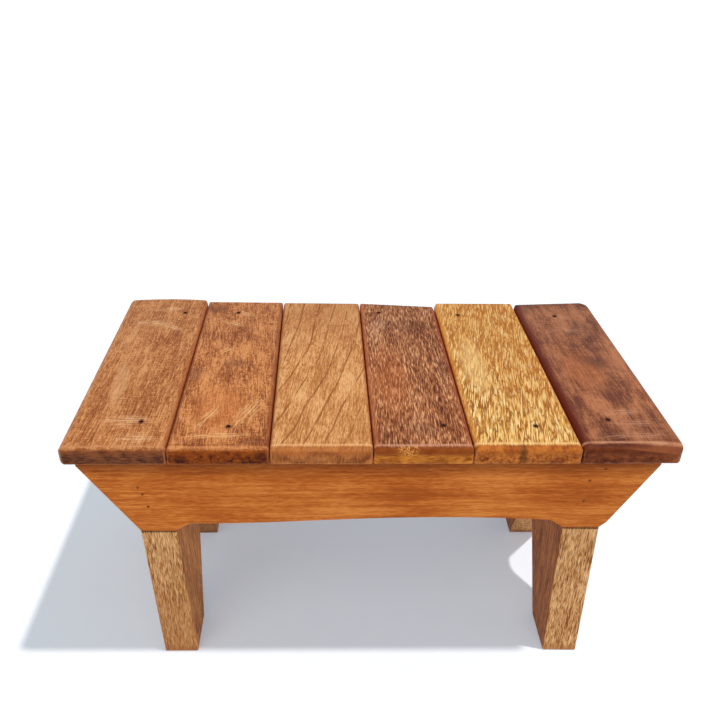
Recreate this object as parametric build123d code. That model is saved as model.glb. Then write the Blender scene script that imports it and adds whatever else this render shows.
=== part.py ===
from build123d import *
import os
from math import atan2, degrees, radians, tan

# A rustic wooden stool. Six seat slats, each of a different wood, are nailed across two aprons.
# The aprons are let into the front and rear edges of two upright end boards, and a pointed notch
# sawn into the bottom of each end board leaves a front foot and a rear foot.
# Millimetres. +X runs to the right along the seat, +Y to the back and +Z up. The origin is on the
# floor, under the middle of the seat.

# Seat. Widths, crowns, rounds and cuts are listed slat by slat, from left to right.
seat_depth = 233.2
seat_height = 224.2
slat_thickness = 12.5
slat_gap = 0.5
slat_widths = (72.7, 68.8, 69.4, 67.2, 72.2, 68.2)
slat_crowns = (0.6, 0.0, 0.0, 0.0, 0.0, 0.5)
slat_left_rounds = (5.5, 3.0, 3.2, 3.0, 3.6, 4.2)
slat_right_rounds = (3.4, 3.0, 3.2, 3.8, 3.2, 2.5)
left_under_rounds = (5.0, 0.8, 0.8, 0.8, 0.8, 0.8)
underside_round = 0.8
end_round = 3.0
# The rounds of the ends run this far past the flats above and below, and so meet them at a faint edge.
end_round_overshoot = 0.05

# The back ends are sawn out of square, and the first one is bowed. Each cut is measured forwards
# from the back of the seat to the slat's back corner.
back_left_cuts = (2.9, 4.9, 7.3, 8.9, 9.0, 13.3)
back_right_cuts = (2.9, 6.7, 9.1, 16.3, 10.0, 9.1)
back_bows = (2.9, 0.0, 0.0, 0.0, 0.0, 0.0)
back_left_corner_rounds = (6.5, 4.5, 4.6, 2.8, 9.0, 6.0)
back_right_corner_rounds = (8.0, 4.5, 4.5, 6.5, 5.0, 12.0)
front_left_corner_rounds = (5.8, 2.4, 2.4, 2.4, 2.4, 2.4)
front_right_corner_rounds = (2.4, 2.4, 2.4, 2.4, 2.4, 6.6)

# The last slat's front right corner is worn down to a slanting facet.
corner_wear_length = 46.0
corner_wear_depth = 11.0
corner_wear_drop = 5.2

# Aprons. They are a little shorter than the seat, with a short upright end above the slanting cut.
# The relief between the feet is sawn by hand: it starts with a ramp at each end and rises to the right.
apron_thickness = 19.0
apron_height = 77.9
apron_end_inset = 2.8
apron_ear_height = 17.3
front_overhang = 20.6
rear_overhang = 27.0
right_foot_lift = 2.5
right_heel_run = 4.6
right_heel_rise = 4.7
relief_height = 12.1
ramp_run = 10.4
ramp_rise = 6.8
ramp_top_round = 9.0
apron_edge_round = 0.7

# Points along the relief: shares of the way from ramp to ramp, and of the relief's height.
relief_run_shares = (0.25, 0.47, 0.74)
relief_height_shares = (0.66, 0.90, 1.0)

# End boards. They stand a little to the right under the seat and lean that way at the foot, and
# they are turned a little, so that they stand wider apart at the back.
board_thickness = 27.3
board_span = 342.7
board_shift = 2.7
board_lean = 2.0
left_board_turn = 0.3
right_board_turn = 1.1
board_edge_round = 1.2
foot_edge_round = 1.0
front_foot_depth = 37.4
rear_foot_depth = 44.4
notch_height = 106.0
notch_tip_round = 12.0

# Nails. They are driven below the surface, and each bore is a close fit round its nail.
nail_radius = 0.9
slat_nail_head_radius = 1.6
apron_nail_head_radius = 1.1
nail_head_thickness = 1.0
nail_point_length = 2.4
nail_clearance = 0.04
slat_nail_sunk_depth = 1.0
apron_nail_sunk_depth = 0.4
slat_nail_length = 30.0
apron_nail_length = 42.0

# Places of the slat nails: shares of the slat's width, and of the apron's thickness from its face.
front_nail_width_shares = (0.70, 0.57, 0.54, 0.74, 0.64, 0.38)
rear_nail_width_shares = (0.76, 0.43, 0.43, 0.24, 0.26, 0.46)
front_nail_depth_shares = (0.60, 0.32, 0.43, 0.35, 0.31, 0.67)
rear_nail_depth_shares = (0.18, 0.13, 0.20, 0.16, 0.41, 0.60)
# The third slat's nails are covered with wood filler.
filled_slat = 3

# Places of the apron nails: shares of the end board's thickness from its outer face, and of the
# apron's height from its foot.
left_joint_shares = ((0.16, 0.53), (0.25, 0.45), (0.34, 0.30))
right_joint_shares = ((0.12, 0.74), (0.48, 0.60), (0.55, 0.36))

# Worked out from the sizes above.
overrun = 5.0
slat_numbers = range(1, len(slat_widths) + 1)
seat_length = sum(slat_widths) + slat_gap * (len(slat_widths) - 1)
seat_left = -seat_length / 2
seat_front = -seat_depth / 2
seat_back = seat_depth / 2
seat_underside = seat_height - slat_thickness
apron_foot = seat_underside - apron_height
front_apron_face = seat_front + front_overhang
rear_apron_face = seat_back - rear_overhang
board_depth = rear_apron_face - front_apron_face
lean_slope = tan(radians(board_lean))
turn_slopes = {-1: tan(radians(left_board_turn)), 1: tan(radians(right_board_turn))}
foot_lifts = {-1: 0.0, 1: right_foot_lift}


def slat_left_edge(number):
    """X of a slat's left edge. Slats are numbered from 1 at the left."""
    return seat_left + sum(slat_widths[:number - 1]) + slat_gap * (number - 1)


def outer_face_x(side, height=apron_foot, y=front_apron_face):
    """X of an end board's outer face at a height and depth. The side is -1 for left and 1 for right."""
    lean = (apron_foot - height) * lean_slope
    turn = (y - front_apron_face) * turn_slopes[side]
    return board_shift + lean + side * (board_span / 2 + turn)


def inner_face_x(side, height=apron_foot, y=front_apron_face):
    """X of an end board's inner face at a height and depth."""
    return outer_face_x(side, height, y) - side * board_thickness


def prism_along_y(face, start, end):
    """The solid that a face drawn in X and Z sweeps between two places along Y."""
    return Pos(0, start, 0) * extrude(Plane.XZ * face, amount=start - end)


def prism_along_x(face, start, end):
    """The solid that a face drawn in Y and Z sweeps between two places along X."""
    return Pos(start, 0, 0) * extrude(Plane.YZ * face, amount=end - start)


def round_corner(face, corner, radius):
    """A flat face with the corner nearest a point rounded."""
    return fillet(face.vertices().sort_by_distance(corner)[0], radius)


def slat_section(number):
    """A slat's section across its width: a crowned top, rounded more at the seat's outer edges."""
    left = slat_left_edge(number)
    right = left + slat_widths[number - 1]
    crown = slat_crowns[number - 1]
    sides = Polyline(
        (left, seat_height),
        (left, seat_underside),
        (right, seat_underside),
        (right, seat_height),
    )
    if crown > 0:
        middle = (left + right) / 2
        top = ThreePointArc((right, seat_height), (middle, seat_height + crown), (left, seat_height))
    else:
        top = Line((right, seat_height), (left, seat_height))
    face = make_face(sides + top)
    face = round_corner(face, (left, seat_height), slat_left_rounds[number - 1])
    face = round_corner(face, (right, seat_height), slat_right_rounds[number - 1])
    face = round_corner(face, (left, seat_underside), left_under_rounds[number - 1])
    return round_corner(face, (right, seat_underside), underside_round)


def slat_plan(number):
    """A slat seen from above, with rounded corners and its back end out of square or bowed."""
    left = slat_left_edge(number)
    right = left + slat_widths[number - 1]
    left_back = (left, seat_back - back_left_cuts[number - 1])
    right_back = (right, seat_back - back_right_cuts[number - 1])
    sides = Polyline(left_back, (left, seat_front), (right, seat_front), right_back)
    if back_bows[number - 1] > 0:
        back = ThreePointArc(right_back, back_middle(number), left_back)
    else:
        back = Line(right_back, left_back)
    plan = make_face(sides + back)
    plan = round_corner(plan, (left, seat_front), front_left_corner_rounds[number - 1])
    plan = round_corner(plan, (right, seat_front), front_right_corner_rounds[number - 1])
    plan = round_corner(plan, left_back, back_left_corner_rounds[number - 1])
    return round_corner(plan, right_back, back_right_corner_rounds[number - 1])


def back_middle(number):
    """The middle of a slat's back end, seen from above."""
    x = slat_left_edge(number) + slat_widths[number - 1] / 2
    cut = (back_left_cuts[number - 1] + back_right_cuts[number - 1]) / 2
    return (x, seat_back - cut + back_bows[number - 1])


def end_profile(end, reach, top):
    """A slat's end seen from the side, as a face in Y and Z that reaches back from the end."""
    high = top + end_round_overshoot
    low = seat_underside - end_round_overshoot
    outline = Polyline((end, low), (end, high), (reach, high), (reach, low), close=True)
    face = round_corner(make_face(outline), (end, high), end_round)
    return round_corner(face, (end, low), underside_round)


def straight_end(end, towards, top):
    """A long block that stops at a place along Y, with the round of a slat's end on that stop."""
    face = end_profile(end, end - towards * (seat_depth + overrun), top)
    return prism_along_x(face, -seat_length, seat_length)


def bowed_end(number, top):
    """A block whose back is part of a wide disc, with the round of a slat's end on its rim."""
    bow = back_bows[number - 1]
    width = slat_widths[number - 1]
    radius = (width ** 2 / 4 + bow ** 2) / (2 * bow)
    disc = revolve(Plane.YZ * end_profile(radius, 0, top), Axis.Z)
    middle_x, middle_y = back_middle(number)
    front_half = Box(
        width,
        seat_depth / 2 + overrun,
        top - seat_underside,
        align=(Align.CENTER, Align.MAX, Align.MIN),
    )
    return Pos(middle_x, middle_y - radius, 0) * disc + Pos(middle_x, 0, seat_underside) * front_half


def back_end(number, top):
    """The block that gives a slat its back end, bowed or sawn a little out of square."""
    if back_bows[number - 1] > 0:
        return bowed_end(number, top)
    difference = back_left_cuts[number - 1] - back_right_cuts[number - 1]
    turn = degrees(atan2(difference, slat_widths[number - 1]))
    middle_x, middle_y = back_middle(number)
    return Pos(middle_x, middle_y, 0) * Rot(0, 0, turn) * straight_end(0, 1, top)


def corner_wear():
    """The block whose slanting underside wears down the seat's front right corner."""
    right = -seat_left
    along_front = Vector(right - corner_wear_length, seat_front, seat_height)
    along_side = Vector(right, seat_front + corner_wear_depth, seat_height)
    down_corner = Vector(right, seat_front, seat_height - corner_wear_drop)
    upwards = (down_corner - along_front).cross(along_side - along_front)
    block = Box(seat_depth, seat_depth, slat_thickness, align=(Align.CENTER, Align.CENTER, Align.MIN))
    return Plane(origin=along_front, z_dir=upwards) * block


def nail(length, head_radius):
    """A nail along Z with its point down. Its head's top is at the origin."""
    shank_length = length - nail_head_thickness - nail_point_length
    shank_top = -nail_head_thickness
    point_top = shank_top - shank_length
    outline = Polyline(
        (0, 0),
        (head_radius, 0),
        (head_radius, shank_top),
        (nail_radius, shank_top),
        (nail_radius, point_top),
        (0, point_top - nail_point_length),
        close=True,
    )
    return revolve(Plane.XZ * make_face(outline), Axis.Z)


def nail_bore(length, head_radius, sunk_depth):
    """The hole that a nail of this length leaves, from above the surface to just past its point."""
    head_bottom = -nail_head_thickness
    head_hole = Cylinder(
        head_radius + nail_clearance,
        nail_head_thickness + sunk_depth + overrun,
        align=(Align.CENTER, Align.CENTER, Align.MIN),
    )
    shank_hole = Cylinder(
        nail_radius + nail_clearance,
        length - nail_head_thickness + nail_clearance,
        align=(Align.CENTER, Align.CENTER, Align.MAX),
    )
    return Pos(0, 0, head_bottom) * head_hole + Pos(0, 0, head_bottom) * shank_hole


def slat_top_at(number, x):
    """Height of a slat's top at a place across its width, where the crown is taken as a parabola."""
    middle = slat_left_edge(number) + slat_widths[number - 1] / 2
    offset_share = (x - middle) / (slat_widths[number - 1] / 2)
    return seat_height + slat_crowns[number - 1] * (1 - offset_share ** 2)


def slat_nail_place(number, at_front):
    """Where a slat nail's head lies: the top of the head, sunk below the slat's top."""
    if at_front:
        width_share = front_nail_width_shares[number - 1]
        y = front_apron_face + apron_thickness * front_nail_depth_shares[number - 1]
    else:
        width_share = rear_nail_width_shares[number - 1]
        y = rear_apron_face - apron_thickness * rear_nail_depth_shares[number - 1]
    x = slat_left_edge(number) + slat_widths[number - 1] * width_share
    return Pos(x, y, slat_top_at(number, x) - slat_nail_sunk_depth)


def slat_nail_places(at_front):
    """The places of the row of slat nails at the front or at the back."""
    return [slat_nail_place(number, at_front) for number in slat_numbers]


def apron_nail_places(at_front):
    """Where the apron nails' heads lie, pointing from the apron's face into the end boards."""
    places = []
    for side, joint_shares in ((-1, left_joint_shares), (1, right_joint_shares)):
        for thickness_share, height_share in joint_shares:
            z = apron_foot + apron_height * height_share
            face_y = front_apron_face if at_front else rear_apron_face
            y = face_y + apron_nail_sunk_depth if at_front else face_y - apron_nail_sunk_depth
            x = outer_face_x(side, z, y) - side * board_thickness * thickness_share
            places.append(Pos(x, y, z) * Rot(90 if at_front else -90, 0, 0))
    return places


def cut_slat_bores(solid, places):
    """A solid with the bores of slat nails taken out of it."""
    bore = nail_bore(slat_nail_length, slat_nail_head_radius, slat_nail_sunk_depth)
    for place in places:
        solid = solid - place * bore
    return solid


def cut_apron_bores(solid, places):
    """A solid with the bores of apron nails taken out of it."""
    bore = nail_bore(apron_nail_length, apron_nail_head_radius, apron_nail_sunk_depth)
    for place in places:
        solid = solid - place * bore
    return solid


def seat_slat(number):
    """One seat slat: rounded over on top and at its ends, with the bores of its two nails."""
    top = seat_height + slat_crowns[number - 1]
    slat = prism_along_y(slat_section(number), seat_front, seat_back)
    blank = extrude(slat_plan(number), amount=slat_thickness + 2 * overrun)
    slat = slat & Pos(0, 0, seat_underside - overrun) * blank
    slat = slat & straight_end(seat_front, -1, top)
    slat = slat & back_end(number, top)
    if number == len(slat_widths):
        slat = slat - corner_wear()
    return cut_slat_bores(slat, [slat_nail_place(number, True), slat_nail_place(number, False)])


def apron_outline(y):
    """An apron at a depth, seen from the front: ears, slanting ends, feet and the sawn relief."""
    ear_left = seat_left + apron_end_inset
    ear_right = -ear_left
    ear_bottom = seat_underside - apron_ear_height
    left_outer = outer_face_x(-1, apron_foot, y)
    right_outer = outer_face_x(1, apron_foot, y)
    left_inner = inner_face_x(-1, apron_foot, y)
    right_inner = inner_face_x(1, apron_foot, y)
    right_foot = apron_foot + right_foot_lift
    left_ramp_top = (left_inner + ramp_run, apron_foot + ramp_rise)
    right_ramp_top = (right_inner - ramp_run, right_foot + ramp_rise)
    around = Polyline(
        left_ramp_top,
        (left_inner, apron_foot),
        (left_outer, apron_foot),
        (ear_left, ear_bottom),
        (ear_left, seat_underside),
        (ear_right, seat_underside),
        (ear_right, ear_bottom),
        (right_outer + right_heel_run, right_foot + right_heel_rise),
        (right_outer, right_foot),
        (right_inner, right_foot),
        right_ramp_top,
    )
    relief_run = right_ramp_top[0] - left_ramp_top[0]
    relief_points = [left_ramp_top]
    for run_share, height_share in zip(relief_run_shares, relief_height_shares):
        x = left_ramp_top[0] + relief_run * run_share
        relief_points.append((x, apron_foot + relief_height * height_share))
    relief_points.append(right_ramp_top)
    face = make_face(around + Spline(relief_points))
    face = round_corner(face, left_ramp_top, ramp_top_round)
    return round_corner(face, right_ramp_top, ramp_top_round)


def apron(at_front):
    """An apron with its nail bores. Its foot at each end is as wide as the end board."""
    start = front_apron_face if at_front else rear_apron_face - apron_thickness
    outline = apron_outline(start + apron_thickness / 2)
    solid = prism_along_y(outline, start, start + apron_thickness)
    open_edges = solid.edges().filter_by(lambda edge: edge.bounding_box().size.Z > apron_edge_round)
    solid = fillet(open_edges, apron_edge_round)
    solid = cut_slat_bores(solid, slat_nail_places(at_front))
    return cut_apron_bores(solid, apron_nail_places(at_front))


def notch_outline():
    """The pointed notch between the feet, in Y from the board's front face and Z from the floor."""
    back = board_depth - rear_foot_depth
    middle = (front_foot_depth + back) / 2
    spread = (back - front_foot_depth) / 2 * (notch_height + overrun) / notch_height
    wedge = Polyline(
        (middle - spread, -overrun),
        (middle, notch_height),
        (middle + spread, -overrun),
        close=True,
    )
    return round_corner(make_face(wedge), (middle, notch_height), notch_tip_round)


def end_board(side, turn):
    """An end board: it leans a little, stands flat, and is notched for the feet and the aprons."""
    plan = Pos(0, board_depth / 2) * RectangleRounded(board_thickness, board_depth, board_edge_round)
    upright = Pos(0, 0, -overrun) * extrude(plan, amount=seat_underside + 2 * overrun)
    notch = prism_along_x(notch_outline(), -board_thickness, board_thickness)
    board = Pos(0, 0, -apron_foot) * (upright - notch)
    middle_x = (outer_face_x(side) + inner_face_x(side)) / 2
    stance = Rot(0, 0, -side * turn) * Rot(0, -board_lean, 0)
    board = Pos(middle_x, front_apron_face, apron_foot) * stance * board
    cutter_width = 2 * board_span
    slab = Box(cutter_width, seat_depth, seat_underside, align=(Align.CENTER, Align.CENTER, Align.MIN))
    board = board & slab
    floor_edges = board.edges().filter_by(lambda edge: edge.bounding_box().max.Z < foot_edge_round)
    board = fillet(floor_edges, foot_edge_round)
    room_floor = apron_foot + foot_lifts[side]
    front_room = front_apron_face + apron_thickness - seat_front
    rear_room = seat_back - rear_apron_face + apron_thickness
    for start, depth in ((seat_front, front_room), (seat_back - rear_room, rear_room)):
        room = Box(cutter_width, depth, apron_height + overrun, align=(Align.CENTER, Align.MIN, Align.MIN))
        board = board - Pos(0, start, room_floor) * room
    board = cut_apron_bores(board, apron_nail_places(True))
    return cut_apron_bores(board, apron_nail_places(False))


def nail_row(places, length, head_radius):
    """A row of like nails as one group of separate solids."""
    return Compound(children=[place * nail(length, head_radius) for place in places])


def nail_hole_fillers():
    """The two dabs of filler over the sunk nail heads of one slat, level with its top."""
    dabs = []
    for at_front in (True, False):
        dab = Cylinder(
            slat_nail_head_radius,
            slat_nail_sunk_depth,
            align=(Align.CENTER, Align.CENTER, Align.MIN),
        )
        dabs.append(slat_nail_place(filled_slat, at_front) * dab)
    return Compound(children=dabs)


def stool_parts():
    """Every piece of the stool by its name."""
    parts = {"seat_slat_%d" % number: seat_slat(number) for number in slat_numbers}
    parts["front_apron"] = apron(True)
    parts["rear_apron"] = apron(False)
    parts["left_end_board"] = end_board(-1, left_board_turn)
    parts["right_end_board"] = end_board(1, right_board_turn)
    for end, at_front in (("front", True), ("rear", False)):
        slat_row = nail_row(slat_nail_places(at_front), slat_nail_length, slat_nail_head_radius)
        apron_row = nail_row(apron_nail_places(at_front), apron_nail_length, apron_nail_head_radius)
        parts[end + "_slat_nails"] = slat_row
        parts[end + "_apron_nails"] = apron_row
    parts["nail_hole_fillers"] = nail_hole_fillers()
    return parts


os.makedirs("parts", exist_ok=True)
for name, piece in stool_parts().items():
    export_step(piece, "parts/" + name + ".step")
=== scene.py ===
from math import pi, radians
import bpy
from mathutils import Matrix, Vector


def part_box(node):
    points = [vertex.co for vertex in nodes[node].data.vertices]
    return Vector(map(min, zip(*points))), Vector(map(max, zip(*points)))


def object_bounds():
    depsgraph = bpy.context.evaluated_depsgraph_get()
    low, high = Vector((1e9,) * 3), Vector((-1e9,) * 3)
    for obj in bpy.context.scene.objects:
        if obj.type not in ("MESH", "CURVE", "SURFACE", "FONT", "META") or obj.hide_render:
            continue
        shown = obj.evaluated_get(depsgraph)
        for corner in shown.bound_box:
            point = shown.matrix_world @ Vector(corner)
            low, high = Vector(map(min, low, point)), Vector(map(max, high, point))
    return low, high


# A rustic wooden stool: six slats of different woods nailed across two orange aprons, which are let
# into two upright end boards. Metres, +X to the right along the seat, +Y to the back and +Z up.
# The textures are laid out in millimetres.
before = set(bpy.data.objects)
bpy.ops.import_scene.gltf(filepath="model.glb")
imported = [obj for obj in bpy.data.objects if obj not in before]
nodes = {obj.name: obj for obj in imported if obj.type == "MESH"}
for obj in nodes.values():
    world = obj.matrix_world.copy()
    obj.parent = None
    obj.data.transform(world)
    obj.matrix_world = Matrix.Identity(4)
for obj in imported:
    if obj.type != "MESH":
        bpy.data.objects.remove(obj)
cad_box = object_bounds()
mm = 0.001

# Camera. The photograph is a square crop, so its optical axis lies left of its middle.
image_size = 720
focal_pixels = 753.9
axis_pixel = 324.6
sensor_width = 36.0
camera_place = (-32.6 * mm, -520.4 * mm, 526.6 * mm)
camera_pitch = radians(30.06)
camera_yaw = radians(0.2)

# Light. The key light comes from the upper right and a little from the front, as the shadow shows.
# A broad fill light comes from the front and the sky from all round.
key_direction = (-0.35, 0.10, -1.0)
key_strength = 1.85
key_angle = radians(2.2)
fill_direction = (0.25, 0.80, -0.55)
fill_strength = 0.85
fill_angle = radians(70)
sky_strength = 0.34
white = (1.0, 1.0, 1.0, 1.0)

# Floor. It lies just under the feet, and its glow keeps its shadows pale in the picture.
floor_half_size = 14.0
floor_drop = 0.2 * mm
floor_colour = (0.86, 0.86, 0.88, 1.0)
floor_glow = 0.20
floor_glow_tint = (0.76, 1.08, 1.34, 1.0)

# Surface finish: the gloss of thin varnish, and how high the bumps stand.
varnish_specular = 0.08
nail_metallic = 0.3
fine_relief = 0.30 * mm
coarse_relief = 0.35 * mm
apron_relief = 0.18 * mm
smooth_relief = 0.1 * mm

# Places of the colour sockets in Blender's Mix node.
mix_share, mix_below, mix_above, mix_result = 0, 6, 7, 2

# From here on, sizes are in millimetres. A spot on a slat's top reaches right through the slat.
spot_reach = 60
nail_stain_radii = (3.6, 4.4, 30)
nail_rim_radii = (2.6, 3.2, 30)
scratch_width = 1.5
scratch_length = 12 * scratch_width
scratch_reach = 40

# Bands along a slat's front end, measured backwards from the middle of the pale rub, which is partly
# wear and partly painted highlight: where each one starts, where it is full from and to, and where it
# ends. The margin starts close to the rub's middle and is full in front of the rub.
rub_highlight_band = (-2.4, -0.3, 0.3, 1.7)
groove_band = (1.2, 2.2, 2.8, 4.4)
margin_start, margin_full = -0.4, -3.6

# How far a face is turned towards an axis, as its normal's part along it: where a tone starts and
# where it is full. The rounded corners' band starts, is full from and to, and ends.
end_turn = (0.60, 0.98)
front_turn = (-0.35, -0.65)
side_turn = (0.80, 0.98)
corner_turn_band = (0.30, 0.60, 0.85, 0.98)

# How far inside the seat's ends its two outer sides, which have no neighbour, start and are full.
outer_side_start, outer_side_full = 8, 4

# The worn front corner of the sixth slat, and the heights between which painted shade under the slats darkens
# the aprons upwards.
worn_width = 46
worn_depth = 11
shade_foot = 181
shade_head = 200

# Shares of the tone scale at which a fine wood has its dark, its middle and its light colour.
shade_stops = (0.10, 0.5, 0.90)


def paint(red, green, blue):
    """A colour given as it looks on a screen, from 0 to 255, as the renderer's linear colour."""
    return tuple((share / 255) ** 2.2 for share in (red, green, blue)) + (1.0,)


class Look:
    """A material being wired up. Its methods add nodes and hand back their output sockets."""

    def __init__(self, name):
        self.material = bpy.data.materials.new(name)
        self.material.use_nodes = True
        self.tree = self.material.node_tree
        self.tree.nodes.clear()
        metres = self.node("ShaderNodeTexCoord").outputs["Object"]
        self.place = self.vector("SCALE", metres, scale=1 / mm)
        self.x, self.y, self.z = self.parts(self.place)
        normal = self.node("ShaderNodeNewGeometry").outputs["Normal"]
        self.facing_x, self.facing_y, self.facing_z = self.parts(normal)

    def node(self, kind, **settings):
        made = self.tree.nodes.new(kind)
        for name, value in settings.items():
            setattr(made, name, value)
        return made

    def wire(self, value, socket):
        """Links a socket to an input, or sets the input where the value is a plain one."""
        if isinstance(value, bpy.types.NodeSocket):
            self.tree.links.new(value, socket)
        else:
            socket.default_value = value

    def parts(self, vector):
        split = self.node("ShaderNodeSeparateXYZ")
        self.wire(vector, split.inputs[0])
        return split.outputs

    def calc(self, operation, *values):
        made = self.node("ShaderNodeMath", operation=operation)
        for value, socket in zip(values, made.inputs):
            self.wire(value, socket)
        return made.outputs[0]

    def magnitude(self, value):
        return self.calc("ABSOLUTE", value)

    def vector(self, operation, *values, scale=None):
        made = self.node("ShaderNodeVectorMath", operation=operation)
        for value, socket in zip(values, made.inputs):
            self.wire(value, socket)
        if scale is not None:
            self.wire(scale, made.inputs["Scale"])
        return made.outputs["Value"] if operation == "LENGTH" else made.outputs["Vector"]

    def laid(self, cell, turn=0.0, middle=(0, 0, 0)):
        """The place measured in cells of this size, turned about Z round a middle."""
        mapping = self.node("ShaderNodeMapping", vector_type="TEXTURE")
        self.wire(self.place, mapping.inputs["Vector"])
        mapping.inputs["Location"].default_value = middle
        mapping.inputs["Rotation"].default_value = (0, 0, turn)
        mapping.inputs["Scale"].default_value = cell
        return mapping.outputs[0]

    def noise(self, at, detail=2.0, roughness=0.5, swirl=0.0):
        made = self.node("ShaderNodeTexNoise")
        self.wire(at, made.inputs["Vector"])
        made.inputs["Scale"].default_value = 1.0
        made.inputs["Detail"].default_value = detail
        made.inputs["Roughness"].default_value = roughness
        made.inputs["Distortion"].default_value = swirl
        return made.outputs[0]

    def grain(self, along, width, length, turn=0.0, **noise_settings):
        """Noise whose cells are drawn out along one axis."""
        cell = tuple(length if axis == along else width for axis in "XYZ")
        return self.noise(self.laid(cell, turn), **noise_settings)

    def veins(self, along, width, length, turn, thickness):
        """Thin winding lines along the grain, where a noise passes its middle value."""
        value = self.grain(along, width, length, turn, swirl=0.3)
        off_middle = self.magnitude(self.calc("SUBTRACT", value, 0.5))
        return self.step(off_middle, thickness, 0.0)

    def step(self, value, start, full):
        """0 up to the start, 1 from the full value on, and smooth between. The full one may be lower."""
        made = self.node("ShaderNodeMapRange", interpolation_type="SMOOTHSTEP")
        self.wire(value, made.inputs["Value"])
        made.inputs["From Min"].default_value = start
        made.inputs["From Max"].default_value = full
        return made.outputs[0]

    def band(self, value, start, full_from, full_to, end):
        """1 between two values, with a smooth rise before them and a smooth fall after them."""
        return self.both(self.step(value, start, full_from), self.step(value, end, full_to))

    def both(self, *masks):
        product = masks[0]
        for mask in masks[1:]:
            product = self.calc("MULTIPLY", product, mask)
        return product

    def either(self, *masks):
        most = masks[0]
        for mask in masks[1:]:
            most = self.calc("MAXIMUM", most, mask)
        return most

    def total(self, *weighted):
        """One half, plus each value's distance from one half times its weight."""
        total = 0.5 - sum(weight / 2 for value, weight in weighted)
        for value, weight in weighted:
            total = self.calc("MULTIPLY_ADD", value, weight, total)
        return total

    def ramp(self, value, *stops):
        """A colour read from stops, each a share from 0 to 1 and a colour."""
        made = self.node("ShaderNodeValToRGB")
        self.wire(value, made.inputs[0])
        elements = made.color_ramp.elements
        while len(elements) < len(stops):
            elements.new(1.0)
        for element, (share, colour) in zip(elements, stops):
            element.position = share
            element.color = colour
        return made.outputs[0]

    def over(self, below, colour, mask):
        """A colour laid over another where the mask is 1."""
        made = self.node("ShaderNodeMix", data_type="RGBA")
        self.wire(mask, made.inputs[mix_share])
        self.wire(below, made.inputs[mix_below])
        self.wire(colour, made.inputs[mix_above])
        return made.outputs[mix_result]

    def faintly(self, below, colour, mask, strength):
        """A colour laid over another at a share of its full strength."""
        return self.over(below, colour, self.calc("MULTIPLY", mask, strength))

    def patch(self, centre, radii, turn=0.0, ragged=0.5):
        """A soft spot with a ragged rim, 1 in its middle."""
        rim, core = 1.0, 0.35
        tatter_cell = (4, 4, 4)
        away = self.vector("LENGTH", self.laid(radii, turn, centre))
        tatters = self.noise(self.laid(tatter_cell, middle=centre), detail=3.0)
        return self.step(self.total((away, 1.0), (tatters, ragged)), rim, core)

    def finish(self, colour, height, roughness, relief, metallic=0.0):
        """The surface: its colour, its bumps, which stand up to the relief in metres, and its gloss."""
        shader = self.node("ShaderNodeBsdfPrincipled")
        self.wire(colour, shader.inputs["Base Color"])
        self.wire(roughness, shader.inputs["Roughness"])
        shader.inputs["Specular IOR Level"].default_value = varnish_specular
        shader.inputs["Metallic"].default_value = metallic
        bump = self.node("ShaderNodeBump")
        bump.inputs["Strength"].default_value = 1.0
        bump.inputs["Distance"].default_value = relief
        self.wire(height, bump.inputs["Height"])
        self.wire(bump.outputs[0], shader.inputs["Normal"])
        output = self.node("ShaderNodeOutputMaterial")
        self.wire(shader.outputs[0], output.inputs["Surface"])
        return self.material

    def finish_fine(self, colour, fibres, specks, marks):
        """The surface of a fine wood, duller where it is scratched."""
        height = self.total((fibres, 1.0), (specks, 0.8))
        return self.finish(colour, height, self.total((fibres, 0.3), (marks, 0.2)), fine_relief)

    def finish_coarse(self, colour, flecks, fibres):
        """The surface of a coarse wood, on which the flecks make the most of the relief."""
        height = self.total((flecks, 1.4), (fibres, 0.6))
        return self.finish(colour, height, self.total((flecks, 0.3)), coarse_relief)


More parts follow.
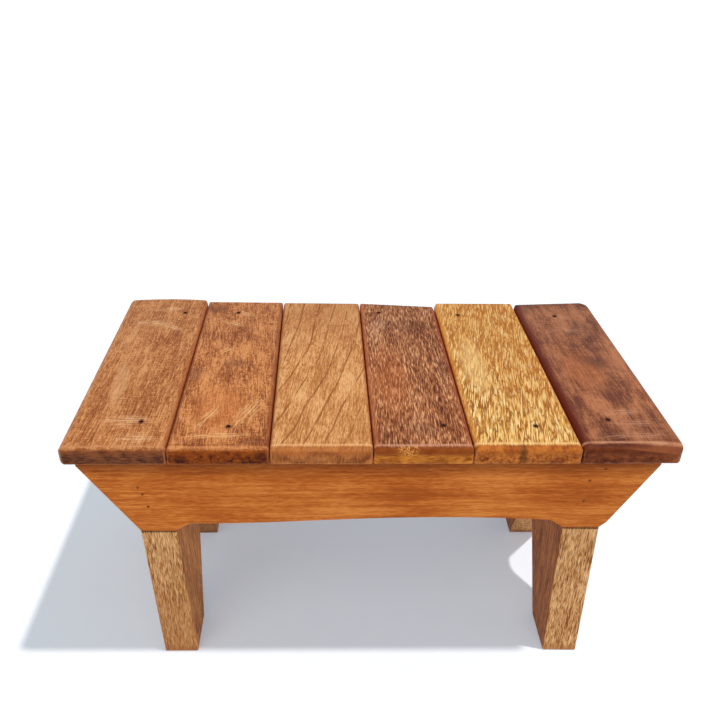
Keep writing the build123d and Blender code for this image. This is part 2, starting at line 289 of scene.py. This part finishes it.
class Slat(Look):
    """The wood of one seat slat, with the slat's edges and nails at hand.

    The rub is the pale line along the front, partly left by wear and partly a painted highlight, this many
    millimetres behind the front end. In front of it the darker tone of the sawn end shows by the margin's
    share."""

    def __init__(self, name, node, rub_highlight_place, margin_share=1.0):
        super().__init__(name)
        low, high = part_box(node)
        self.left, self.front = low.x / mm, low.y / mm
        self.width, self.depth = (high.x - low.x) / mm, (high.y - low.y) / mm
        self.top, self.underside = high.z / mm, low.z / mm
        self.from_left = self.calc("SUBTRACT", self.x, self.left)
        self.from_right = self.calc("SUBTRACT", self.left + self.width, self.x)
        self.from_front = self.calc("SUBTRACT", self.y, self.front)
        wander = self.noise(self.laid((12, 9, 9)), detail=3.0)
        behind = self.total((self.from_front, 1.0), (wander, 1.3))
        self.rub_and_highlight = self.band(behind, *(rub_highlight_place + edge for edge in rub_highlight_band))
        self.groove = self.band(behind, *(rub_highlight_place + edge for edge in groove_band))
        margin = self.step(behind, rub_highlight_place + margin_start, rub_highlight_place + margin_full)
        sawn = self.step(self.magnitude(self.facing_y), *end_turn)
        self.on_end = self.either(sawn, self.calc("MULTIPLY", margin, margin_share))
        self.on_front = self.step(self.facing_y, *front_turn)
        self.on_side = self.magnitude(self.facing_x)
        seat_reach = cad_box[1][0] / mm
        inner = self.magnitude(self.x)
        self.in_gap = self.step(inner, seat_reach - outer_side_full, seat_reach - outer_side_start)

    def top_place(self, width_share, depth_share):
        """A place on the slat's top, from shares of its width and its depth from the front left."""
        return (self.left + self.width * width_share, self.front + self.depth * depth_share, self.top)

    def end_place(self, width_share, height):
        """A place on the slat's front end, at a height over its underside."""
        return (self.left + self.width * width_share, self.front, self.underside + height)

    def spots(self, *spots):
        """Soft spots on the top. Each one's numbers are its place, as a share of the slat's width and
        of its depth, its radii across and along the slat, and its turn in degrees."""
        masks = []
        for width_share, depth_share, across, along, turn in spots:
            centre = self.top_place(width_share, depth_share)
            masks.append(self.patch(centre, (across, along, spot_reach), radians(turn)))
        return self.either(*masks)

    def scratches(self, *patches):
        """Patches of fine parallel scratches. Each one's numbers are its place, as for a spot, its
        radii along and across the scratches, and their direction from the X axis in degrees."""
        line_start, line_full = 0.42, 0.60
        cell = (scratch_length, scratch_width, scratch_reach)
        masks = []
        for width_share, depth_share, along, across, turn in patches:
            centre = self.top_place(width_share, depth_share)
            spot = self.patch(centre, (along, across, spot_reach), radians(turn), ragged=0.8)
            lines = self.noise(self.laid(cell, radians(turn), centre), detail=2.0, roughness=0.6)
            masks.append(self.both(spot, self.step(lines, line_start, line_full)))
        return self.either(*masks)

    def fibres(self, width, length, lean=0.0, detail=4.0):
        return self.grain("Y", width, length, lean, detail=detail, roughness=0.6, swirl=0.3)

    def specks(self, length=3.5):
        """Short fine dashes along the grain."""
        return self.fibres(width=0.8, length=length, detail=2.0)

    def rubbed(self, width, length):
        """Faint wear from side to side, across the grain."""
        return self.grain("X", width, length, detail=3.0, roughness=0.6)

    def shades(self, tone, dark, middle, light):
        """The three colours of a fine wood, from its darkest fibres to its lightest."""
        return self.ramp(tone, *zip(shade_stops, (dark, middle, light)))

    def shaded(self, colour, rear_share, front_share=1.0):
        """The colour brought to a share of itself towards the rear and towards the front."""
        even_depth = self.depth * 0.30
        to_rear = self.step(self.from_front, even_depth, self.depth)
        to_front = self.step(self.from_front, even_depth, 0)
        share = self.calc("MULTIPLY_ADD", to_rear, rear_share - 1, 1.0)
        share = self.calc("MULTIPLY_ADD", to_front, front_share - 1, share)
        return self.vector("SCALE", colour, scale=share)

    def nail_place(self, row):
        """Where this slat's nail of a row stands, on the slat's top."""
        slat_right = self.left + self.width
        corners = [v.co / mm for v in nodes[row].data.vertices]
        mine = [corner for corner in corners if self.left < corner.x < slat_right]
        x = (min(corner.x for corner in mine) + max(corner.x for corner in mine)) / 2
        y = (min(corner.y for corner in mine) + max(corner.y for corner in mine)) / 2
        return (x, y, self.top)

    def nail_stain(self, colour):
        """Dark smudges round the two sunk nails."""
        places = [self.nail_place(row) for row in ("front_slat_nails", "rear_slat_nails")]
        stains = [self.patch(place, nail_stain_radii, ragged=0.7) for place in places]
        rims = [self.patch(place, nail_rim_radii, ragged=0.2) for place in places]
        colour = self.faintly(colour, paint(92, 44, 24), self.either(*stains), 0.45)
        return self.faintly(colour, paint(52, 26, 16), self.either(*rims), 0.8)

    def end_grain(self, colour, dark, light, upper, upper_strength, cell=(7, 9, 1.2)):
        """Darker sawn ends with arcs of growth rings and streaks, and another tone above."""
        ring_pitch, ring_length = 2.6, 400
        ring_share, ring_height = 0.45, 70
        ring_wobble = 8.0
        upper_start, upper_full = 7.0, 3.0
        ring_centre = (self.left + self.width * ring_share, self.front, self.top + ring_height)
        outward = self.vector("LENGTH", self.laid((ring_pitch, ring_length, ring_pitch), 0.0, ring_centre))
        wander = self.noise(self.laid((9, 9, 7)), detail=3.0)
        arcs = self.calc("SINE", self.calc("MULTIPLY_ADD", wander, ring_wobble, outward))
        rings = self.calc("MULTIPLY_ADD", arcs, 0.5, 0.5)
        streak = self.noise(self.laid(cell), detail=3.0, roughness=0.6)
        tone = self.total((rings, 0.2), (streak, 1.8), (wander, 1.7))
        ends = self.ramp(tone, (0.15, dark), (0.85, light))
        height = self.total((self.z, 1.0), (wander, 4.0))
        high = self.step(height, self.top - upper_start, self.top - upper_full)
        ends = self.faintly(ends, upper, high, upper_strength)
        return self.over(colour, ends, self.on_end)

    def edge_bands(self, colour, left_tone, right_tone, left_width, right_width, strength=0.6, soft=1.0):
        """The long edges, whose rounds carry other tones, partly where the varnish has gathered and partly as
        painted light and shade on the rounds, and the sides that face a neighbour."""
        wander = self.noise(self.laid((3, 22, 3)), detail=3.0)
        # Painted light and shade, with gathered varnish: lighter or darker bands on the rounded long edges.
        edges = ((self.from_left, left_tone, left_width), (self.from_right, right_tone, right_width))
        for from_edge, tone, width in edges:
            wavy = self.total((from_edge, 1.0), (wander, 2.4))
            colour = self.faintly(colour, tone, self.step(wavy, width + soft, width - soft), strength)
        side = self.both(self.step(self.on_side, *side_turn), self.in_gap)
        return self.faintly(colour, paint(150, 56, 26), side, 0.85)

    def rub_and_highlight_front(self, colour, tone, strength, groove_strength=0.0):
        """The pale line along the front, partly rubbed wear and partly painted highlight, and painted
        highlights on the corners and the foot of the front end.
        """
        foot_start, foot_full = self.underside + 1.5, self.underside + 0.7
        least_rub_highlight = 0.55
        patchy = self.step(self.noise(self.laid((6, 4, 4)), detail=3.0), 0.30, 0.60)
        corners = self.both(self.band(self.on_side, *corner_turn_band), self.on_front)
        foot = self.both(self.step(self.z, foot_start, foot_full), self.on_front)
        colour = self.faintly(colour, paint(104, 50, 26), self.groove, groove_strength)
        # Painted highlight and wear: the patchy pale line along the front.
        line = self.both(self.rub_and_highlight, self.calc("MULTIPLY_ADD", patchy, 1 - least_rub_highlight, least_rub_highlight))
        colour = self.faintly(colour, tone, line, strength)
        # Painted highlights on the rounded front corners and along the foot of the front end.
        return self.faintly(colour, tone, self.both(self.either(corners, foot), patchy), 0.2)


def warm_brown_wood():
    """First slat: an even warm brown with fine grain, rubbed pale in places."""
    wood = Slat("warm_brown_wood", "seat_slat_1", rub_highlight_place=3.4, margin_share=0.4)
    lean = radians(-3)
    fine = wood.fibres(width=0.95, length=13, lean=lean)
    broad = wood.fibres(width=12, length=60, lean=lean, detail=2.0)
    speck = wood.specks()
    across = wood.rubbed(width=0.9, length=7)
    tone = wood.total((fine, 2.2), (broad, 1.2), (speck, 1.5), (across, 1.2))
    colour = wood.shades(tone, paint(136, 74, 38), paint(179, 113, 64), paint(212, 150, 98))
    left_streaks = wood.total((wood.from_left, 0.02), (wood.fibres(width=5, length=60), 1.0))
    colour = wood.faintly(colour, paint(196, 106, 44), wood.step(left_streaks, 0.45, 0.15), 0.6)
    pale = wood.spots((0.33, 0.36, 8, 44, 4), (0.24, 0.70, 3, 36, -2))
    colour = wood.faintly(colour, paint(222, 168, 118), pale, 0.4)
    marks = wood.scratches(
        (0.56, 0.145, 22, 8, 2),
        (0.70, 0.052, 17, 6, 3),
        (0.66, 0.750, 17, 5, -24),
        (0.42, 0.785, 22, 7, -4),
        (0.55, 0.900, 18, 6, 12),
    )
    colour = wood.faintly(colour, paint(238, 192, 144), marks, 0.70)
    colour = wood.shaded(colour, rear_share=0.93, front_share=1.06)
    colour = wood.edge_bands(colour, paint(150, 98, 66), paint(166, 92, 52), left_width=1.2, right_width=2.6)
    colour = wood.end_grain(
        colour,
        dark=paint(66, 36, 24),
        light=paint(140, 82, 50),
        upper=paint(138, 76, 44),
        upper_strength=0.4,
    )
    colour = wood.rub_and_highlight_front(colour, paint(210, 146, 98), strength=0.6)
    colour = wood.nail_stain(colour)
    return wood.finish_fine(colour, fine, speck, marks)


def orange_brown_wood():
    """Second slat: orange brown, blotched darker, with slanting scratches and a check in its end."""
    wood = Slat("orange_brown_wood", "seat_slat_2", rub_highlight_place=3.0, margin_share=0.4)
    fine = wood.fibres(width=1.0, length=14, lean=radians(3))
    broad = wood.fibres(width=14, length=38, lean=radians(5), detail=3.0)
    speck = wood.specks()
    across = wood.rubbed(width=0.9, length=7)
    tone = wood.total((fine, 2.4), (broad, 1.9), (speck, 1.9), (across, 1.3))
    colour = wood.shades(tone, paint(128, 67, 34), paint(182, 111, 63), paint(218, 147, 91))
    dark = wood.spots(
        (0.12, 0.93, 16, 12, 0),
        (0.10, 0.43, 8, 16, 0),
        (0.52, 0.50, 13, 9, 0),
        (0.85, 0.04, 12, 5, 0),
    )
    colour = wood.faintly(colour, paint(112, 64, 44), dark, 0.5)
    warm = wood.spots((0.45, 0.22, 26, 40, 0))
    colour = wood.faintly(colour, paint(212, 128, 70), warm, 0.4)
    marks = wood.scratches(
        (0.52, 0.885, 13, 6, -24),
        (0.40, 0.80, 16, 6, -22),
        (0.74, 0.19, 28, 9, 68),
        (0.34, 0.17, 22, 5, 66),
        (0.38, 0.59, 8, 5, 50),
        (0.50, 0.07, 28, 5, 4),
    )
    colour = wood.faintly(colour, paint(240, 186, 128), marks, 0.75)
    colour = wood.shaded(colour, rear_share=0.88)
    colour = wood.edge_bands(colour, paint(112, 56, 30), paint(128, 64, 38), left_width=2.2, right_width=3.0)
    colour = wood.end_grain(
        colour,
        dark=paint(58, 18, 4),
        light=paint(154, 76, 16),
        upper=paint(158, 76, 22),
        upper_strength=0.35,
        cell=(3.5, 9, 2.6),
    )
    left_blotch = wood.patch(wood.end_place(0.14, 4.5), radii=(7, 12, 6))
    right_blotch = wood.patch(wood.end_place(0.93, 6), radii=(6, 12, 7))
    colour = wood.faintly(colour, paint(72, 26, 10), wood.either(left_blotch, right_blotch), 0.6)
    check = wood.patch(wood.end_place(0.434, 4.5), radii=(1.1, 12, 6.0), ragged=0.6)
    colour = wood.faintly(colour, paint(60, 24, 10), check, 0.7)
    colour = wood.rub_and_highlight_front(colour, paint(216, 142, 90), strength=0.6, groove_strength=0.35)
    colour = wood.nail_stain(colour)
    return wood.finish_fine(colour, fine, speck, marks)


def slanting_streaks(wood):
    """Thin dark streaks, broken here and there, that slant to the back right, less so to the rear."""
    pitch = 13.5
    front_slope, rear_slope = 0.38, 0.10
    half_width, core = 0.075, 0.02
    slope_change = (rear_slope - front_slope) / 2 / wood.depth
    wander = wood.noise(wood.laid((40, 110, 40)), detail=1.0)
    slope = wood.calc("MULTIPLY_ADD", wood.from_front, slope_change, front_slope)
    across = wood.calc("SUBTRACT", wood.x, wood.calc("MULTIPLY", wood.from_front, slope))
    count = wood.calc("DIVIDE", across, pitch)
    wave = wood.calc("FRACT", wood.total((count, 1.0), (wander, 1.2)))
    off_middle = wood.magnitude(wood.calc("SUBTRACT", wave, 0.5))
    gaps = wood.grain("Y", width=5, length=26, turn=radians(-14), detail=3.0)
    return wood.both(wood.step(off_middle, half_width, core), wood.step(gaps, 0.38, 0.50))


def honey_wood():
    """Third slat: honey coloured, crossed by slanting streaks. Filler hides its nails."""
    wood = Slat("honey_wood", "seat_slat_3", rub_highlight_place=5.4, margin_share=0.8)
    fine = wood.fibres(width=1.0, length=15, lean=radians(-6))
    broad = wood.fibres(width=14, length=50, lean=radians(-10), detail=2.0)
    speck = wood.specks(length=4)
    tone = wood.total((fine, 2.1), (broad, 1.4), (speck, 1.7))
    colour = wood.shades(tone, paint(166, 102, 54), paint(202, 138, 82), paint(232, 176, 118))
    rear = wood.step(wood.from_front, wood.depth / 2, wood.depth)
    colour = wood.faintly(colour, paint(156, 92, 48), rear, 0.36)
    streaks = slanting_streaks(wood)
    colour = wood.faintly(colour, paint(132, 72, 32), streaks, 0.70)
    colour = wood.shaded(colour, rear_share=0.95)
    colour = wood.edge_bands(colour, paint(164, 98, 56), paint(168, 90, 46), left_width=1.6, right_width=1.8)
    colour = wood.end_grain(
        colour,
        dark=paint(126, 68, 34),
        light=paint(192, 120, 66),
        upper=paint(176, 98, 46),
        upper_strength=0.5,
        cell=(1.2, 9, 5),
    )
    colour = wood.rub_and_highlight_front(colour, paint(238, 178, 120), strength=0.75)
    height = wood.total((fine, 1.2), (streaks, -0.4))
    return wood.finish(colour, height, wood.total((fine, 0.3), (streaks, 0.2)), fine_relief)


def red_brown_wood():
    """Fourth slat: dark reddish brown, thick with short pale flecks."""
    wood = Slat("red_brown_wood", "seat_slat_4", rub_highlight_place=4.8)
    lean = radians(-2)
    flecks = wood.grain("Y", width=0.9, length=8, turn=lean, roughness=0.6, swirl=0.4)
    fine = wood.fibres(width=0.9, length=12)
    broad = wood.fibres(width=15, length=60, detail=3.0)
    veins = wood.veins("Y", width=2.6, length=20, turn=lean, thickness=0.06)
    tone = wood.total((flecks, 2.8), (fine, 1.6), (broad, 1.0))
    colour = wood.ramp(
        tone,
        (0.05, paint(88, 40, 22)),
        (0.42, paint(148, 88, 55)),
        (0.70, paint(190, 123, 80)),
        (1.0, paint(234, 178, 132)),
    )
    colour = wood.faintly(colour, paint(96, 46, 26), veins, 0.35)
    warm = wood.spots((0.26, 0.40, 20, 66, 0))
    colour = wood.faintly(colour, paint(190, 104, 54), warm, 0.30)
    dark = wood.spots(
        (0.90, 0.48, 8, 24, 0),
        (0.52, 0.10, 14, 12, 0),
        (0.60, 0.80, 18, 20, 0),
        (0.30, 0.02, 16, 6, 0),
    )
    colour = wood.faintly(colour, paint(86, 44, 34), dark, 0.35)
    marks = wood.scratches((0.22, 0.80, 26, 10, 78))
    colour = wood.faintly(colour, paint(222, 176, 146), marks, 0.45)
    colour = wood.shaded(colour, rear_share=0.80)
    colour = wood.edge_bands(colour, paint(186, 106, 66), paint(146, 64, 42), left_width=3.2, right_width=3.0)
    colour = wood.end_grain(
        colour,
        dark=paint(136, 68, 20),
        light=paint(216, 136, 54),
        upper=paint(128, 60, 24),
        upper_strength=0.85,
    )
    bright_spot = wood.patch(wood.top_place(0.34, 0.0), radii=(9, 9, 9))
    bright = wood.both(bright_spot, wood.step(flecks, 0.46, 0.58))
    colour = wood.faintly(colour, paint(250, 176, 92), bright, 0.75)
    colour = wood.rub_and_highlight_front(colour, paint(214, 152, 124), strength=0.75)
    colour = wood.nail_stain(colour)
    return wood.finish_coarse(colour, flecks, fine)


def golden_wood():
    """Fifth slat: bright golden yellow with fine brown streaks, and a dark knot in its front end."""
    wood = Slat("golden_wood", "seat_slat_5", rub_highlight_place=6.6)
    lean = radians(-10)
    front_contrast, rear_contrast = 0.88, 1.28
    flecks = wood.grain("Y", width=0.9, length=15, turn=lean, roughness=0.55, swirl=0.3)
    fine = wood.fibres(width=0.8, length=9, lean=lean)
    broad = wood.fibres(width=9, length=50, lean=lean, detail=3.0)
    veins = wood.veins("Y", width=2.8, length=24, turn=lean, thickness=0.075)
    to_rear = wood.step(wood.from_front, 0, wood.depth / 2)
    contrast = wood.calc("MULTIPLY_ADD", to_rear, rear_contrast - front_contrast, front_contrast)
    tone = wood.total((flecks, 2.4), (fine, 1.6), (broad, 0.7))
    tone = wood.calc("MULTIPLY_ADD", wood.calc("SUBTRACT", tone, 0.5), contrast, 0.5)
    colour = wood.ramp(
        tone,
        (0.05, paint(154, 92, 32)),
        (0.36, paint(220, 160, 82)),
        (0.58, paint(247, 200, 120)),
        (0.95, paint(255, 234, 172)),
    )
    colour = wood.faintly(colour, paint(146, 78, 22), veins, 0.90)
    to_rear_right = wood.total((wood.from_front, 0.004), (wood.from_left, 0.004), (broad, 0.8))
    colour = wood.faintly(colour, paint(194, 118, 46), wood.step(to_rear_right, 0.72, 1.15), 0.40)
    from_front = wood.total((wood.from_front, 0.006), (broad, 0.8))
    colour = wood.faintly(colour, paint(248, 176, 56), wood.step(from_front, 0.30, 0.0), 0.55)
    pale = wood.spots((0.24, 0.50, 14, 60, 0))
    colour = wood.faintly(colour, paint(250, 208, 138), pale, 0.35)
    colour = wood.shaded(colour, rear_share=0.96)
    colour = wood.edge_bands(
        colour,
        paint(226, 146, 66),
        paint(206, 138, 58),
        left_width=3.4,
        right_width=1.6,
    )
    colour = wood.end_grain(
        colour,
        dark=paint(118, 50, 18),
        light=paint(206, 124, 56),
        upper=paint(184, 102, 42),
        upper_strength=0.45,
        cell=(2.2, 9, 2.2),
    )
    low_knot = wood.patch(wood.end_place(0.456, 3.5), radii=(4.6, 9, 5.0), ragged=0.9)
    high_knot = wood.patch(wood.end_place(0.450, 9), radii=(3.4, 12, 10), ragged=0.9)
    colour = wood.rub_and_highlight_front(colour, paint(252, 198, 130), strength=0.8)
    colour = wood.faintly(colour, paint(70, 42, 20), wood.either(low_knot, high_knot), 0.65)
    colour = wood.nail_stain(colour)
    return wood.finish_coarse(colour, flecks, fine)


def worn_corner(wood, broad):
    """The facet that wear has cut off the front right corner, and the end's tone beside it."""
    outward = wood.calc(
        "ADD",
        wood.calc("DIVIDE", wood.from_right, worn_width),
        wood.calc("DIVIDE", wood.from_front, worn_depth),
    )
    inside = wood.step(wood.total((outward, 1.0), (broad, 0.5)), 1.10, 0.70)
    facet = wood.both(inside, wood.step(wood.facing_z, 0.3, 0.6))
    at_right = wood.step(wood.from_right, 18, 6)
    return wood.either(facet, wood.both(at_right, wood.either(wood.on_front, wood.on_end)))


def mahogany_wood():
    """Sixth slat: dark mahogany with cloudy patches, light scratches and a worn front corner."""
    wood = Slat("mahogany_wood", "seat_slat_6", rub_highlight_place=7.0)
    lean = radians(2)
    fine = wood.fibres(width=1.0, length=16, lean=lean)
    broad = wood.fibres(width=15, length=45, lean=lean, detail=3.0)
    speck = wood.specks()
    across = wood.rubbed(width=0.9, length=8)
    tone = wood.total((fine, 1.8), (broad, 2.6), (speck, 1.1), (across, 0.9))
    colour = wood.shades(tone, paint(104, 56, 38), paint(146, 88, 59), paint(184, 118, 81))
    warm = wood.spots((0.42, 0.46, 20, 40, 0))
    colour = wood.faintly(colour, paint(176, 100, 56), warm, 0.38)
    dark = wood.spots(
        (0.72, 0.78, 14, 18, 0),
        (0.26, 0.07, 7, 6, 0),
        (0.10, 0.95, 10, 18, 0),
        (0.62, 0.52, 20, 10, 0),
    )
    colour = wood.faintly(colour, paint(90, 50, 40), dark, 0.40)
    marks = wood.scratches(
        (0.48, 0.75, 18, 7, 2),
        (0.52, 0.865, 13, 6, -12),
        (0.56, 0.19, 19, 6, 10),
        (0.62, 0.13, 22, 6, 3),
        (0.58, 0.065, 28, 6, 5),
    )
    colour = wood.faintly(colour, paint(216, 160, 128), marks, 0.5)
    colour = wood.shaded(colour, rear_share=0.82, front_share=0.90)
    colour = wood.edge_bands(
        colour,
        paint(94, 30, 12),
        paint(146, 84, 52),
        left_width=5.6,
        right_width=2.0,
        strength=0.95,
        soft=4.0,
    )
    colour = wood.end_grain(
        colour,
        dark=paint(76, 30, 14),
        light=paint(138, 74, 38),
        upper=paint(86, 36, 18),
        upper_strength=0.6,
        cell=(5, 9, 3),
    )
    colour = wood.faintly(colour, paint(160, 90, 50), worn_corner(wood, broad), 0.42)
    colour = wood.rub_and_highlight_front(colour, paint(212, 150, 116), strength=0.65, groove_strength=0.25)
    colour = wood.nail_stain(colour)
    return wood.finish_fine(colour, fine, speck, marks)


def orange_softwood():
    """Both aprons: orange varnished softwood, with a quiet grain along their length, and painted shade under
    the slats.
    """
    wood = Look("orange_softwood")
    fine = wood.grain("X", width=2.2, length=60, detail=4.0, roughness=0.6, swirl=0.3)
    broad = wood.grain("X", width=16, length=60)
    speck = wood.grain("X", width=0.9, length=6)
    tone = wood.total((fine, 1.2), (broad, 1.2), (speck, 0.9))
    colour = wood.ramp(
        tone,
        (0.15, paint(166, 84, 30)),
        (0.5, paint(196, 109, 45)),
        (0.85, paint(222, 138, 66)),
    )
    end = wood.step(wood.magnitude(wood.facing_x), 0.45, 0.70)
    colour = wood.faintly(colour, paint(188, 105, 46), end, 0.8)
    # Painted shade: the aprons darken upwards into the shade under the slats.
    painted_shade_under_slats = wood.step(wood.z, shade_foot, shade_head)
    colour = wood.faintly(colour, paint(84, 36, 20), painted_shade_under_slats, 0.7)
    height = wood.total((fine, 1.0), (speck, 0.6))
    return wood.finish(colour, height, wood.total((fine, 0.3)), apron_relief)


def apron_foot_heights():
    """Heights of the front apron's feet, on the left and on the right."""
    places = [v.co / mm for v in nodes["front_apron"].data.vertices]
    left = min(place.z for place in places if place.x < 0)
    right = min(place.z for place in places if place.x > 0)
    return left, right


def shadow_line(wood, on_right):
    """The dark joint on the end boards' edges, just under the aprons' feet."""
    line_end, line_full = 2.4, 1.2
    left_foot, right_foot = apron_foot_heights()
    foot = wood.calc("MULTIPLY_ADD", on_right, right_foot - left_foot, left_foot)
    below = wood.calc("SUBTRACT", foot, wood.z)
    on_edge = wood.step(wood.magnitude(wood.facing_y), 0.5, 0.8)
    return wood.both(wood.step(below, line_end, line_full), on_edge)


def coarse_tan_wood():
    """Both end boards: light golden brown, thick with short dark dashes that run upright, with painted light
    and shade on their inner faces.
    """
    wood = Look("coarse_tan_wood")
    dashes = wood.grain("Z", width=0.7, length=8, roughness=0.55, swirl=0.3)
    fine = wood.grain("Z", width=1.2, length=26, detail=3.0)
    broad = wood.grain("Z", width=9, length=40)
    veins = wood.veins("Z", width=1.9, length=15, turn=0.0, thickness=0.05)
    tone = wood.total((dashes, 2.8), (fine, 1.0), (broad, 0.5))
    colour = wood.ramp(
        tone,
        (0.05, paint(126, 72, 34)),
        (0.36, paint(194, 138, 82)),
        (0.60, paint(222, 167, 110)),
        (0.95, paint(244, 198, 144)),
    )
    colour = wood.faintly(colour, paint(136, 80, 38), veins, 0.5)
    on_left = wood.step(wood.x, 1.0, -1.0)
    on_right = wood.step(wood.x, -1.0, 1.0)
    left_tone_top, left_tone_full = 130, 10
    left_low = wood.both(on_left, wood.step(wood.z, left_tone_top, left_tone_full))
    colour = wood.faintly(colour, paint(162, 100, 50), left_low, 0.50)
    # The feet are darker towards the bottom, under a wavy edge.
    dark_foot_top, dark_foot_full = 10, 3
    dark_foot_band = wood.step(wood.total((wood.z, 1.0), (fine, 6.0)), dark_foot_top, dark_foot_full)
    colour = wood.faintly(colour, paint(158, 96, 52), dark_foot_band, 0.5)
    streaks = wood.total((dashes, 1.6), (fine, 2.0), (broad, 0.8))
    # Painted light and shade: the left board's inner face is painted lighter, as if lit, and the right
    # board's darker, as if shaded.
    lit_left_inside_face = wood.ramp(streaks, (0.20, paint(160, 92, 38)), (0.80, paint(244, 170, 96)))
    shaded_right_inside_face = wood.ramp(streaks, (0.20, paint(124, 66, 30)), (0.80, paint(200, 128, 72)))
    colour = wood.over(colour, lit_left_inside_face, wood.both(on_left, wood.step(wood.facing_x, 0.6, 0.9)))
    colour = wood.over(colour, shaded_right_inside_face, wood.both(on_right, wood.step(wood.facing_x, -0.6, -0.9)))
    colour = wood.faintly(colour, paint(74, 40, 18), shadow_line(wood, on_right), 0.8)
    return wood.finish_coarse(colour, dashes, fine)


def dark_steel():
    """The nails: dull darkened steel, blotched with rust, and varnished over in the aprons."""
    steel = Look("dark_steel")
    rust = steel.noise(steel.laid((0.8, 0.8, 0.8)), detail=3.0)
    colour = steel.ramp(rust, (0.35, paint(62, 38, 28)), (0.65, paint(108, 64, 42)))
    varnished = steel.step(steel.magnitude(steel.facing_y), 0.7, 0.9)
    colour = steel.faintly(colour, paint(150, 84, 40), varnished, 0.85)
    roughness = steel.total((rust, 0.6))
    return steel.finish(colour, rust, roughness, smooth_relief, metallic=nail_metallic)


def filler():
    """The dabs of filler over the third slat's nails."""
    dab = Look("filler")
    speck = dab.noise(dab.laid((0.6, 0.6, 0.6)), detail=3.0)
    colour = dab.ramp(speck, (0.35, paint(176, 112, 66)), (0.65, paint(206, 142, 92)))
    return dab.finish(colour, speck, dab.total((speck, 0.3)), smooth_relief)


def dress(node_names, material):
    """Gives CAD nodes their material."""
    for name in node_names:
        mesh = nodes[name].data
        mesh.materials.clear()
        mesh.materials.append(material)


def dress_all():
    slat_woods = (
        warm_brown_wood,
        orange_brown_wood,
        honey_wood,
        red_brown_wood,
        golden_wood,
        mahogany_wood,
    )
    for number, wood in enumerate(slat_woods, start=1):
        dress(["seat_slat_%d" % number], wood())
    dress(["front_apron", "rear_apron"], orange_softwood())
    dress(["left_end_board", "right_end_board"], coarse_tan_wood())
    nails = ["front_slat_nails", "rear_slat_nails", "front_apron_nails", "rear_apron_nails"]
    dress(nails, dark_steel())
    dress(["nail_hole_fillers"], filler())


def seen_directly(tree):
    """1 for rays from the camera and in reflections, and 0 for rays that light the object."""
    path = tree.nodes.new("ShaderNodeLightPath")
    seen = path.outputs["Is Camera Ray"]
    for ray in ("Is Glossy Ray", "Is Transmission Ray"):
        most = tree.nodes.new("ShaderNodeMath")
        most.operation = "MAXIMUM"
        tree.links.new(seen, most.inputs[0])
        tree.links.new(path.outputs[ray], most.inputs[1])
        seen = most.outputs[0]
    return seen


def floor_material():
    """Matt and pale, with a faint glow where it is seen directly."""
    material = bpy.data.materials.new("floor")
    material.use_nodes = True
    tree = material.node_tree
    tree.nodes.clear()
    matt = tree.nodes.new("ShaderNodeBsdfDiffuse")
    matt.inputs["Color"].default_value = floor_colour
    glow = tree.nodes.new("ShaderNodeEmission")
    glow.inputs["Color"].default_value = floor_glow_tint
    level = tree.nodes.new("ShaderNodeMath")
    level.operation = "MULTIPLY"
    level.inputs[1].default_value = floor_glow
    tree.links.new(seen_directly(tree), level.inputs[0])
    tree.links.new(level.outputs[0], glow.inputs["Strength"])
    both = tree.nodes.new("ShaderNodeAddShader")
    tree.links.new(matt.outputs[0], both.inputs[0])
    tree.links.new(glow.outputs[0], both.inputs[1])
    output = tree.nodes.new("ShaderNodeOutputMaterial")
    tree.links.new(both.outputs[0], output.inputs["Surface"])
    return material


def make_floor():
    """A plain pale floor, which shows white where the light falls on it."""
    half = floor_half_size
    mesh = bpy.data.meshes.new("floor")
    corners = [(-half, -half, 0), (half, -half, 0), (half, half, 0), (-half, half, 0)]
    mesh.from_pydata(corners, [], [(0, 1, 2, 3)])
    mesh.materials.append(floor_material())
    floor = bpy.data.objects.new("floor", mesh)
    floor.location.z = -floor_drop
    bpy.context.scene.collection.objects.link(floor)


def make_sky():
    """A plain sky, which lights the stool softly and shows white behind it."""
    world = bpy.data.worlds.new("sky")
    world.use_nodes = True
    tree = world.node_tree
    tree.nodes.clear()
    level = tree.nodes.new("ShaderNodeMapRange")
    level.inputs["To Min"].default_value = sky_strength
    level.inputs["To Max"].default_value = 1.0
    tree.links.new(seen_directly(tree), level.inputs["Value"])
    background = tree.nodes.new("ShaderNodeBackground")
    background.inputs["Color"].default_value = white
    tree.links.new(level.outputs[0], background.inputs["Strength"])
    output = tree.nodes.new("ShaderNodeOutputWorld")
    tree.links.new(background.outputs[0], output.inputs["Surface"])
    bpy.context.scene.world = world


def make_sun(name, direction, strength, angle):
    light = bpy.data.lights.new(name, "SUN")
    light.energy = strength
    light.angle = angle
    lamp = bpy.data.objects.new(name, light)
    lamp.rotation_mode = "QUATERNION"
    lamp.rotation_quaternion = Vector(direction).to_track_quat("-Z", "Y")
    bpy.context.scene.collection.objects.link(lamp)


def make_camera():
    camera = bpy.data.cameras.new("camera")
    camera.sensor_width = sensor_width
    camera.lens = focal_pixels * sensor_width / image_size
    camera.shift_x = (image_size / 2 - axis_pixel) / image_size
    holder = bpy.data.objects.new("camera", camera)
    turn = Matrix.Rotation(-camera_yaw, 4, "Z")
    tilt = Matrix.Rotation(pi / 2 - camera_pitch, 4, "X")
    holder.matrix_world = Matrix.Translation(camera_place) @ turn @ tilt
    bpy.context.scene.collection.objects.link(holder)
    bpy.context.scene.camera = holder


dress_all()
make_floor()
make_sky()
make_sun("key_light", key_direction, key_strength, key_angle)
make_sun("fill_light", fill_direction, fill_strength, fill_angle)
make_camera()
bpy.context.scene.view_settings.view_transform = "Standard"
